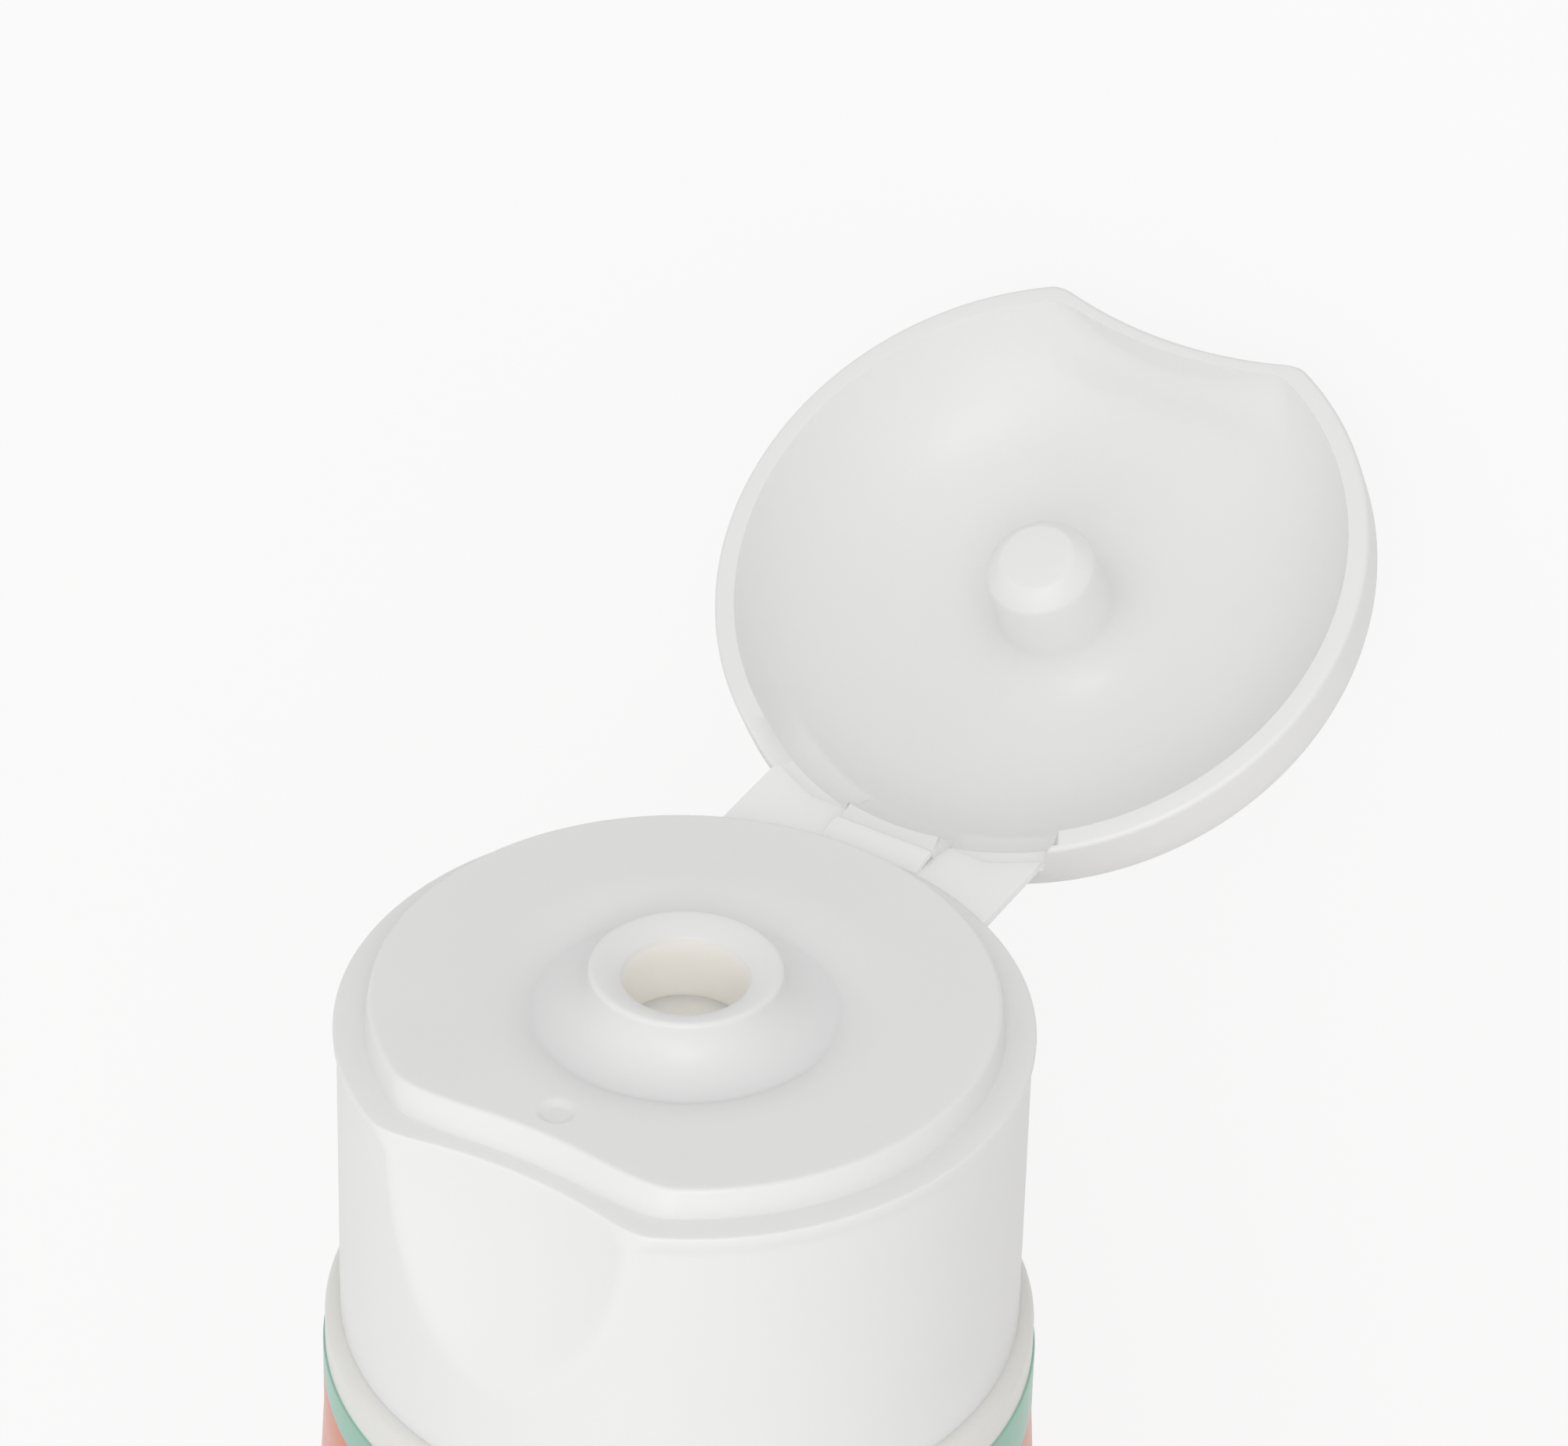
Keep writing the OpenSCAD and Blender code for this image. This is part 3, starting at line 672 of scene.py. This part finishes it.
@dataclass
class Sleeve:
    """The soft printed sleeve, from its round edge to the welded crimp."""

    make: MeshMaker
    sizes: CapSizes = CapSizes()
    length: float = 127.6
    crimp_h: float = 8.0
    wall: float = 0.5
    round_l: float = 4.8
    fullness: float = 0.45
    grooves: int = 5
    groove_depth: float = 0.14
    pleat: float = 0.28
    columns: int = 360

    @property
    def top(self) -> float:
        """Height of the sleeve's round edge."""
        return -self.sizes.skirt_h - self.sizes.collar_h

    @property
    def crimp_top(self) -> float:
        """Height at which the crimp begins."""
        return self.top - self.length + self.crimp_h

    def section(self, r: float, wall: float) -> np.ndarray:
        """Points of a stadium whose half thickness is r and whose edge keeps the sleeve's length.

        A quarter of the edge is q = pi R / 2, with R the sleeve's radius less the wall. Its first
        q - pi r / 2 run straight and the rest goes round an arc of radius r, so the film isn't stretched.

        Args:
            r: Half thickness.
            wall: Distance inside the sleeve's outer face.

        Returns:
            Array of shape (columns, 2).
        """
        q = math.pi * (self.sizes.tube_r - wall) / 2.0
        straight = max(q - math.pi * r / 2.0, 0.0)
        s = np.linspace(-2.0 * q, 2.0 * q, self.columns, endpoint=False)
        front = np.abs(s) <= q
        near = np.where(front, np.abs(s), 2.0 * q - np.abs(s))
        theta = np.clip(near - straight, 0.0, None) / max(r, 1e-6)
        x = np.minimum(near, straight) + r * np.sin(theta)
        y = -r * np.cos(theta)
        return np.stack([np.sign(s) * x, np.where(front, y, -y)], axis=-1)

    def ring(self, r: float, wall: float, z: float) -> np.ndarray:
        """The section of half thickness r as one row of points at a height."""
        return np.column_stack([self.section(r, wall), np.full(self.columns, z)])

    def half_thickness(self, t: np.ndarray) -> np.ndarray:
        """Half thickness at the share t of the way to the crimp: R (1 - t)(1 + f t^2), a filled tube."""
        return self.sizes.tube_r * (1.0 - t) * (1.0 + self.fullness * t * t)

    def build(self) -> bpy.types.Object:
        """Makes the sleeve: inner face, rolled top edge, outer face, grooved crimp and its end."""
        top, crimp_top = self.top, self.crimp_top
        share = np.concatenate([[0.0], np.linspace(0.0, 1.0, 110) ** 1.05])
        height = top - self.round_l - share * (top - self.round_l - crimp_top)
        height[0] = top - 0.3
        rows = [self.ring(max(float(self.half_thickness(t)) - self.wall, 0.0) * (t < 1.0), self.wall, z)
                for t, z in zip(share[::-2], height[::-2])]
        edge = 0.12
        rows += [self.ring(self.sizes.tube_r - edge + inset, edge - inset, top - edge + dz)
                 for inset, dz in quarter(0.0, 0.0, edge, edge, 180.0, 0.0, 7)]
        rows += [self.ring(max(float(self.half_thickness(t)), self.wall), 0.0, z)
                 for t, z in zip(share[1:], height[1:])]
        end, edge = crimp_top - self.crimp_h, 0.15
        for z in np.linspace(crimp_top, end + edge, 90)[1:]:
            wave = 0.5 - 0.5 * math.cos(2.0 * math.pi * (self.grooves + 1) * (crimp_top - z) / self.crimp_h)
            rows.append(self.ring(self.wall - self.groove_depth * (1.0 - wave) ** 4, 0.0, z))
        rows += [self.ring(self.wall - edge - inset, 0.0, end + dz)
                 for inset, dz in quarter(0.0, edge, -edge, -edge, 0.0, 90.0, 4)[1:]]
        rows.append(self.ring(0.0, 0.0, end))
        return self.make.surface("sleeve_film", self._pleated(np.array(rows)))

    def _pleated(self, grid: np.ndarray) -> np.ndarray:
        """Presses soft shallow pleats into the film above the crimp, strongest near it."""
        x, y, z = grid[..., 0], grid[..., 1], grid[..., 2]
        above = (z - self.crimp_top) / 30.0
        strength = np.exp(-np.square(above * 2.2)) * ramp(z, self.crimp_top, self.crimp_top + 6.0)
        wave = np.sin(x * 0.62 + 1.1) * 0.5 + np.sin(x * 0.37 - 0.6 + 0.02 * z) * 0.5
        grid[..., 1] = y + self.pleat * strength * wave * np.sign(y)
        return grid


@dataclass
class Fill:
    """The lotion that fills the sleeve, kept just inside its film."""

    make: MeshMaker
    sleeve: Sleeve
    gap: float = 0.35
    start: float = -30.0
    short: float = 6.0

    def build(self) -> bpy.types.Object:
        """Makes the fill: sections of the sleeve less its wall and a gap, closed at both ends."""
        sleeve = self.sleeve
        first, last = sleeve.top - sleeve.round_l, sleeve.crimp_top
        rows = []
        for z in np.linspace(self.start, last + self.short, 70):
            t = np.array((first - z) / (first - last))
            half = max(float(sleeve.half_thickness(t)) - sleeve.wall - self.gap, 0.1)
            rows.append(sleeve.ring(half, sleeve.wall + self.gap, z))
        caps = [np.column_stack([rows[i][:, :2] * 0.0, rows[i][:, 2]]) for i in (0, -1)]
        return self.make.surface("lotion_fill", np.array([caps[0], *rows, caps[1]]))


@dataclass
class Collar:
    """The bare moulded collar of the tube's head, with its shoulder and neck."""

    make: MeshMaker
    sizes: CapSizes = CapSizes()
    weld_r: float = 19.55
    weld_l: float = 4.8
    neck_r: float = 11.0
    neck_top: float = -5.2
    neck_wall: float = 1.4
    columns: int = 256

    def build(self) -> bpy.types.Object:
        """Turns the head's profile about the axis as one closed surface."""
        s = self.sizes
        weld = -s.skirt_h - s.collar_h
        low, base = weld - self.weld_l, -s.skirt_h
        neck, bore, top = self.neck_r, self.neck_r - self.neck_wall, self.neck_top
        outer = [(self.weld_r, low), (self.weld_r, weld - 0.1), (self.weld_r + 0.03, weld - 0.06),
                 (s.collar_r, weld - 0.05), (s.collar_r, weld + 0.1), (s.collar_r, base - 0.85)]
        lip = quarter(s.skirt_r - 0.05, base - 0.75, s.collar_r - s.skirt_r + 0.05, 0.75, 0.0, 90.0, 10)
        upper = [(s.skirt_r - 0.6, base), (16.9, base), (neck + 0.5, -14.5), (neck, -14.0), (neck, top - 0.4),
                 (neck - 0.4, top), (bore, top), (bore, -14.9), (16.85, -20.8), (18.35, -22.4), (18.35, low)]
        phi = np.linspace(0.0, 2.0 * np.pi, self.columns, endpoint=False)
        rows = [*outer, *lip, *upper]
        return self.make.surface("head_moulding", polar_grid(phi, rows), close_rows=True, sharp=35.0)


class Value:
    """A shader number or colour that adds nodes when it is used in an expression."""

    def __init__(self, shader: "Shader", socket: bpy.types.NodeSocket) -> None:
        """Keeps the shader that the socket belongs to."""
        self.shader = shader
        self.socket = socket

    def _math(self, operation: str, *others: Any) -> "Value":
        """Adds one Math node."""
        return self.shader.node("ShaderNodeMath", {"operation": operation}, *others)

    def __add__(self, other: Any) -> "Value":
        """Sum."""
        return self._math("ADD", self, other)

    __radd__ = __add__

    def __sub__(self, other: Any) -> "Value":
        """Difference."""
        return self._math("SUBTRACT", self, other)

    def __mul__(self, other: Any) -> "Value":
        """Product."""
        return self._math("MULTIPLY", self, other)

    def absolute(self) -> "Value":
        """Size without its sign."""
        return self._math("ABSOLUTE", self)

    def step(self, low: float, high: float) -> "Value":
        """Smooth step from 0 at low to 1 at high, or the other way round where low is the larger."""
        settings = {"interpolation_type": "SMOOTHSTEP", "clamp": True}
        sockets = {"Value": self, "From Min": low, "From Max": high}
        return self.shader.node("ShaderNodeMapRange", settings, **sockets)


class Shader:
    """Builds one material's nodes round a Principled shader."""

    def __init__(self, name: str) -> None:
        """Makes an empty material with its output."""
        self.material = bpy.data.materials.new(name)
        self.material.use_nodes = True
        self.tree = self.material.node_tree
        self.tree.nodes.clear()
        self.surface = self.tree.nodes.new("ShaderNodeBsdfPrincipled")
        self.output = self.tree.nodes.new("ShaderNodeOutputMaterial")
        self.tree.links.new(self.surface.outputs[0], self.output.inputs["Surface"])

    def node(self, kind: str, settings: dict[str, Any], *numbered: Any, output: int | str = 0,
             **named: Any) -> Value:
        """Adds a node.

        Args:
            kind: The node's type.
            settings: Attributes that are set first.
            *numbered: Values or links of its first sockets, in order.
            output: Which output the result stands for.
            **named: Values or links of sockets by name.

        Returns:
            The chosen output.
        """
        made = self.tree.nodes.new(kind)
        for key, value in settings.items():
            setattr(made, key, value)
        for key, value in [*enumerate(numbered), *named.items()]:
            self.put(made.inputs[key], value)
        return Value(self, made.outputs[output])

    def put(self, socket: bpy.types.NodeSocket, value: Any) -> None:
        """Sets a socket's value or links it."""
        if isinstance(value, Value):
            self.tree.links.new(value.socket, socket)
        else:
            socket.default_value = value

    def set(self, **sockets: Any) -> None:
        """Sets the Principled shader's sockets, their names written with underscores for spaces."""
        for name, value in sockets.items():
            self.put(self.surface.inputs[name.replace("_", " ")], value)

    def coordinates(self) -> Value:
        """Object coordinates, which are the row's frame in metres."""
        return self.node("ShaderNodeTexCoord", {}, output="Object")

    def noise(self, scale: float, detail: float = 3.0, rough: float = 0.55) -> Value:
        """Noise on Object coordinates, from 0 to 1."""
        sockets = {"Vector": self.coordinates(), "Scale": scale, "Detail": detail, "Roughness": rough}
        return self.node("ShaderNodeTexNoise", {}, **sockets)

    def along(self, direction: np.ndarray, origin: np.ndarray) -> Value:
        """Distance along a direction from a point, in millimetres."""
        scaled = tuple(float(d) / MM for d in direction)
        dot = self.node("ShaderNodeVectorMath", {"operation": "DOT_PRODUCT"}, self.coordinates(), scaled,
                        output="Value")
        return dot - float(np.dot(direction, origin)) / MM

    def mix(self, factor: Any, first: Any, second: Any) -> Value:
        """Mixes two colours."""
        made = self.tree.nodes.new("ShaderNodeMix")
        made.data_type = "RGBA"
        for key, value in ((0, factor), (6, first), (7, second)):
            self.put(made.inputs[key], value)
        return Value(self, made.outputs[2])

    def bump(self, height: Value, distance: float, strength: float = 1.0) -> Value:
        """Bump from a height between 0 and 1, distance in metres."""
        return self.node("ShaderNodeBump", {}, Height=height, Distance=distance, Strength=strength,
                         output="Normal")


Colour = tuple[float, float, float, float]


@dataclass(frozen=True)
class MouldedWhite:
    """White moulded plastic with a satin skin and a slight inner glow.

    Where a place is given, the residue's colour tints the bore of the nozzle.
    """

    name: str
    colour: Colour
    shade: Colour
    glow: float = 0.12
    rough: float = 0.36
    place: CapFrame | None = None
    residue: Colour = (0.975, 0.955, 0.915, 1.0)

    def build(self) -> bpy.types.Material:
        """Makes the material: cloudy tint, uneven gloss and the fine grain of the mould's surface."""
        shader = Shader(self.name)
        cloud = shader.noise(55.0, 2.0)
        grain = shader.noise(5200.0, 2.0, 0.6)
        flow = shader.noise(320.0, 4.0, 0.6)
        tint = shader.mix(cloud.step(0.3, 0.75), self.colour, self.shade)
        if self.place is not None:
            across, back, up = (shader.along(axis, self.place.origin) for axis in self.place.axes)
            inside = (across * across + back * back).step(13.4, 12.2) * up.step(3.2, 2.6)
            tint = shader.mix(inside, tint, self.residue)
        shader.set(Base_Color=tint,
                   Roughness=self.rough + (flow - 0.5) * 0.12,
                   Normal=shader.bump(grain * 0.6 + flow * 0.4, 0.00002, 0.5),
                   IOR=1.49, Subsurface_Weight=self.glow, Subsurface_Radius=(1.0, 0.9, 0.8),
                   Subsurface_Scale=0.0015)
        return shader.material


@dataclass(frozen=True)
class PrintedFilm:
    """Glossy printed film: bare white edge, green stripe, orange field and the sleeve's overlap seam."""

    place: CapFrame
    stripe_top: float = -21.6
    stripe_h: float = 2.7
    stripe_lean: float = 0.045
    orange: Colour = (0.69, 0.175, 0.065, 1.0)
    deep: Colour = (0.64, 0.15, 0.05, 1.0)
    green: Colour = (0.275, 0.515, 0.405, 1.0)
    seam: Colour = (0.3, 0.12, 0.06, 1.0)
    seam_y: float = -0.4
    seam_fade: tuple[float, float] = (-75.0, -60.0)

    def build(self) -> bpy.types.Material:
        """Makes the material from distances in the cap's frame, with the printed edges slightly soft."""
        shader = Shader("printed_film")
        axes, origin = self.place.axes, self.place.origin
        across, back, up = (shader.along(axis, origin) for axis in axes)
        wobble = (shader.noise(240.0, 2.0) - 0.5) * 0.12
        depth = up - self.stripe_top + across * self.stripe_lean + wobble
        field_mask = depth.step(-self.stripe_h + 0.08, -self.stripe_h - 0.08)
        mottle = shader.noise(900.0, 3.0)
        orange = shader.mix(mottle.step(0.35, 0.7) * 0.6, self.orange, self.deep)
        seam = (back - self.seam_y).absolute().step(0.24, 0.12) * across.step(-0.5, 0.5)
        seam = seam * up.step(*self.seam_fade)
        inked = shader.mix(field_mask, self.green, orange)
        film = shader.noise(130.0, 3.0)
        fine = shader.noise(2600.0, 2.0)
        shader.set(Base_Color=shader.mix(seam * 0.35, inked, self.seam),
                   Roughness=0.3 + (fine - 0.5) * 0.1,
                   Normal=shader.bump(film * 0.8 + fine * 0.1 - seam * 0.4, 0.00012, 0.5),
                   IOR=1.5, Coat_Weight=0.25, Coat_Roughness=0.12, Subsurface_Weight=0.05,
                   Subsurface_Radius=(1.0, 0.5, 0.3), Subsurface_Scale=0.001)
        return shader.material


@dataclass(frozen=True)
class Cream:
    """The lotion, a soft warm white."""

    colour: Colour = (0.95, 0.92, 0.85, 1.0)
    shade: Colour = (0.93, 0.89, 0.81, 1.0)

    def build(self) -> bpy.types.Material:
        """Makes the material: smooth, moist and slightly translucent."""
        shader = Shader("lotion_cream")
        swirl = shader.noise(180.0, 2.0)
        shader.set(Base_Color=shader.mix(swirl.step(0.3, 0.8), self.colour, self.shade), Roughness=0.25,
                   Normal=shader.bump(swirl, 0.0003, 0.5), IOR=1.4, Subsurface_Weight=0.4,
                   Subsurface_Radius=(1.0, 0.8, 0.6), Subsurface_Scale=0.002)
        return shader.material


@dataclass(frozen=True)
class Studio:
    """Camera, floor and soft light."""

    place: CapFrame
    distance: float = 394.12
    azimuth: float = 31.555
    elevation: float = 34.213
    roll: float = 1.562
    aim: tuple[float, float] = (875.515, 1304.613)
    focal_px: float = 9187.86
    lamp_away: float = 0.9
    floor_half: float = 6.0
    floor_tones: tuple[float, float] = (0.62, 0.64)

    def camera_axes(self) -> np.ndarray:
        """Rows are the camera's right, up and back directions in the cap's frame."""
        az, el, roll = (math.radians(a) for a in (self.azimuth, self.elevation, self.roll))
        back = np.array([math.sin(az) * math.cos(el), -math.cos(az) * math.cos(el), math.sin(el)])
        level = np.array([math.cos(az), math.sin(az), 0.0])
        rise = np.cross(back, level)
        return np.array([level * math.cos(roll) + rise * math.sin(roll),
                         -level * math.sin(roll) + rise * math.cos(roll), back])

    def camera(self) -> None:
        """Makes the camera: the cap's origin shows at the aimed pixel of the photograph's frame."""
        right, up, back = self.camera_axes()
        over = (self.aim[0] - PHOTO_SIZE[0] / 2) / self.focal_px * self.distance
        down = (self.aim[1] - PHOTO_SIZE[1] / 2) / self.focal_px * self.distance
        spot = self.place.place(-over * right + down * up + self.distance * back)
        data = bpy.data.cameras.new("camera")
        data.sensor_fit, data.sensor_width = "HORIZONTAL", 36.0
        data.lens = 36.0 * self.focal_px / PHOTO_SIZE[0]
        data.clip_start, data.clip_end = 0.01, 20.0
        turned = np.array([right, up, back]) @ self.place.axes
        bpy.context.scene.camera = link("camera", data, turned, spot)

    def lamp(self, name: str, direction: tuple[float, float, float], size: float, power: float) -> None:
        """Makes one square area lamp that looks at the cap.

        Args:
            name: Name of the lamp.
            direction: Where it stands, seen from the cap, in the row's frame.
            size: Side of the square, in metres.
            power: Power in watts.
        """
        data = bpy.data.lights.new(name, "AREA")
        data.size, data.energy = size, power
        back = np.array(direction, float)
        back /= np.linalg.norm(back)
        side = np.cross([0.0, 0.0, 1.0], back)
        side /= np.linalg.norm(side)
        axes = np.array([side, np.cross(back, side), back])
        link(name, data, axes, self.place.origin + back * self.lamp_away)

    def floor(self) -> None:
        """Makes a wide pale floor that shows white to the camera and keeps the shadow."""
        mesh = bpy.data.meshes.new("floor")
        half = self.floor_half
        corners = [(-half, -half, 0.0), (half, -half, 0.0), (half, half, 0.0), (-half, half, 0.0)]
        mesh.from_pydata(corners, [], [(0, 1, 2, 3)])
        floor = link("floor", mesh)
        shader = Shader("pale_floor")
        speck = shader.noise(30.0, 2.0)
        dark, pale = ((tone, tone, tone, 1.0) for tone in self.floor_tones)
        shader.set(Base_Color=shader.mix(speck, dark, pale), Roughness=0.9)
        self.whiten(shader)
        mesh.materials.append(shader.material)

    @staticmethod
    def whiten(shader: Shader, share: float = 0.88) -> None:
        """Shows the floor mostly white to the camera and in reflections, and the rest of it as it is lit."""
        path = shader.tree.nodes.new("ShaderNodeLightPath")
        seen = Value(shader, path.outputs["Is Camera Ray"]) + Value(shader, path.outputs["Is Glossy Ray"])
        glow = shader.tree.nodes.new("ShaderNodeEmission")
        glow.inputs["Strength"].default_value = 1.0
        blend = shader.tree.nodes.new("ShaderNodeMixShader")
        factor = shader.node("ShaderNodeMath", {"operation": "MINIMUM"}, seen, 1.0) * share
        shader.put(blend.inputs[0], factor)
        shader.tree.links.new(shader.surface.outputs[0], blend.inputs[1])
        shader.tree.links.new(glow.outputs[0], blend.inputs[2])
        shader.tree.links.new(blend.outputs[0], shader.output.inputs["Surface"])

    def world(self, strength: float) -> None:
        """Lights the scene evenly from all round, and shows white to the camera."""
        world = bpy.data.worlds.new("studio")
        world.use_nodes = True
        sockets = world.node_tree.nodes["Background"].inputs
        sockets["Color"].default_value = (1.0, 1.0, 1.0, 1.0)
        sockets["Strength"].default_value = strength
        bpy.context.scene.world = world

    def build(self) -> None:
        """Sets up the whole studio."""
        self.camera()
        self.floor()
        self.world(0.8)
        self.lamp("key", (0.3, -0.3, 0.87), size=0.7, power=1.25)
        self.lamp("side", (0.45, 0.3, 0.8), size=0.4, power=1.1)
        bpy.context.scene.view_settings.view_transform = "Standard"


class Tube:
    """The whole dressed tube."""

    def __init__(self) -> None:
        """Reads the cap's frame and makes the finishes."""
        self.place = CapFrame.from_record(frame["record"])
        self.make = MeshMaker(self.place)
        self.white = MouldedWhite("cap_white", (0.85, 0.85, 0.842, 1.0), (0.835, 0.835, 0.826, 1.0),
                                  place=self.place).build()
        # The hinge strip and straps get a lighter copy of the cap's white: painted highlight for the light
        # band along the hinge.
        self.painted_highlight_white = MouldedWhite("hinge_white_painted_highlight", (0.95, 0.95, 0.94, 1.0), (0.93, 0.93, 0.92, 1.0)).build()
        self.warm = MouldedWhite("head_white", (0.8, 0.795, 0.76, 1.0), (0.78, 0.775, 0.74, 1.0),
                                 glow=0.08, rough=0.3).build()
        self.printed = PrintedFilm(self.place).build()
        self.cream = Cream().build()

    @staticmethod
    def dress(piece: bpy.types.Object, material: bpy.types.Material, slot: Slot, *nodes: str) -> None:
        """Gives a piece its finish and names what it stands for.

        Args:
            piece: The object.
            material: Its finish.
            slot: The record's slot of that finish; not used.
            *nodes: CAD nodes that it replaces.
        """
        piece.data.materials.append(material)
        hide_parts(*nodes)
        LOG.info("%s: %d faces, stands for %s", piece.name, len(piece.data.polygons), ", ".join(nodes))

    def build(self) -> None:
        """Makes and dresses every piece."""
        riding = [
            (Sleeve(self.make).build(), self.printed, Slot.SLEEVE, Body.TUBE, ["tube_sleeve"]),
            (Collar(self.make).build(), self.warm, Slot.HEAD, Body.TUBE, ["tube_head"]),
            (CapBase(self.make).build(), self.white, Slot.CAP, Body.TUBE, ["cap_base", "nozzle"]),
            (Fill(self.make, Sleeve(self.make)).build(), self.cream, Slot.LOTION, Body.TUBE, ["lotion"]),
            (Lid(self.make).build(), self.white, Slot.CAP, Body.LID, ["lid"]),
        ]
        for piece, material, slot, body, nodes in riding:
            self.dress(piece, material, slot, *nodes)
            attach(piece, body.value)
        self.build_hinge()
        drop = Residue(self.make).build()
        drop.data.materials.append(self.cream)
        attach(drop, Body.TUBE.value)

    def build_hinge(self) -> None:
        """Makes the strip and the straps, which span from the base to the lid."""
        hinge = Hinge(self.make)
        film_start = self.place.place(np.array([0.0, self.place.hinge_y - 0.4, 0.0]))
        film_end = self.place.place(self.place.swing(np.array([0.0, self.place.hinge_y - 0.4, 0.9])))
        base = self.place.place(np.array([0.0, *hinge.base_line]))
        lid = self.place.place(self.place.swing(np.array([0.0, *hinge.lid_line])))
        for piece, node, start, end in ((hinge.film(), "hinge_film", film_start, film_end),
                                        (hinge.strap(-1), "hinge_strap_left", base, lid),
                                        (hinge.strap(1), "hinge_strap_right", base, lid)):
            # The lighter white given here is painted highlight on the hinge strip and straps.
            self.dress(piece, self.painted_highlight_white, Slot.CAP, node)
            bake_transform(piece)


def main() -> None:
    """Builds the tube and its studio."""
    tube = Tube()
    tube.build()
    Studio(tube.place).build()


if __name__ == "__main__":
    main()
